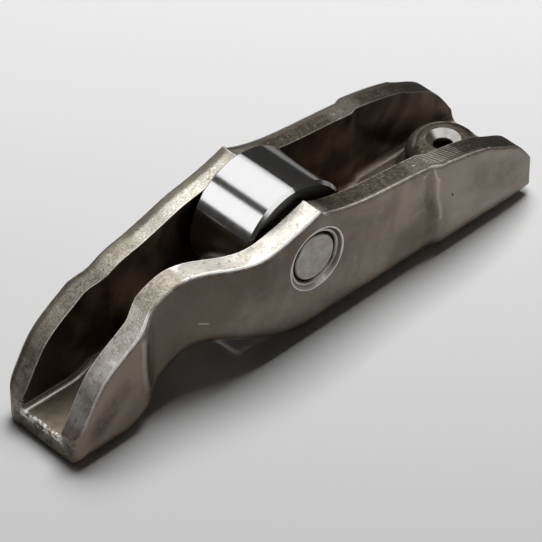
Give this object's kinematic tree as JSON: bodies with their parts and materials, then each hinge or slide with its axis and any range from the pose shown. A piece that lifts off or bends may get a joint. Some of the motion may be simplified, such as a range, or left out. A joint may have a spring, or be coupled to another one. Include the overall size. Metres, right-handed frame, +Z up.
{
  "type": "rocker arm",
  "caption": "Roller rocker arm pressed from sheet steel, with a valve pad, a pivot socket and a needle-bearing roller on a staked axle.",
  "frame": {"origin": "centre of the pivot ball, in the middle plane of the arm", "axes": "+X from the valve end to the pivot end, +Y across the arm, +Z up towards the cam"},
  "size_m": [0.0618, 0.0154, 0.0174],
  "materials": {
    "pressed_steel": "satin, case-hardened grey",
    "axle_steel": "ground, dull grey",
    "roller_steel": "ground and polished bright",
    "needle_steel": "polished"
  },
  "bodies": {
    "arm": {"lever_body": "pressed_steel", "axle_pin": "axle_steel"},
    "roller": {"roller_ring": "roller_steel"},
    "needles": {"needle_01": "needle_steel", "needle_02": "needle_steel", "needle_03": "needle_steel", "needle_04": "needle_steel", "needle_05": "needle_steel", "needle_06": "needle_steel", "needle_07": "needle_steel", "needle_08": "needle_steel", "needle_09": "needle_steel", "needle_10": "needle_steel", "needle_11": "needle_steel", "needle_12": "needle_steel", "needle_13": "needle_steel", "needle_14": "needle_steel", "needle_15": "needle_steel", "needle_16": "needle_steel", "needle_17": "needle_steel", "needle_18": "needle_steel"}
  },
  "joints": [
    {"name": "roller_spin", "type": "hinge", "parent": "arm", "child": "roller", "pos_m": [-0.0252, 0, 0.0065], "axis": [0, 1, 0], "continuous": true},
    {"name": "needle_orbit", "type": "hinge", "parent": "arm", "child": "needles", "pos_m": [-0.0252, 0, 0.0065], "axis": [0, 1, 0], "continuous": true}
  ],
  "couplings": [
    {"joint": "needle_orbit", "follows": "roller_spin", "ratio": 0.58603}
  ]
}
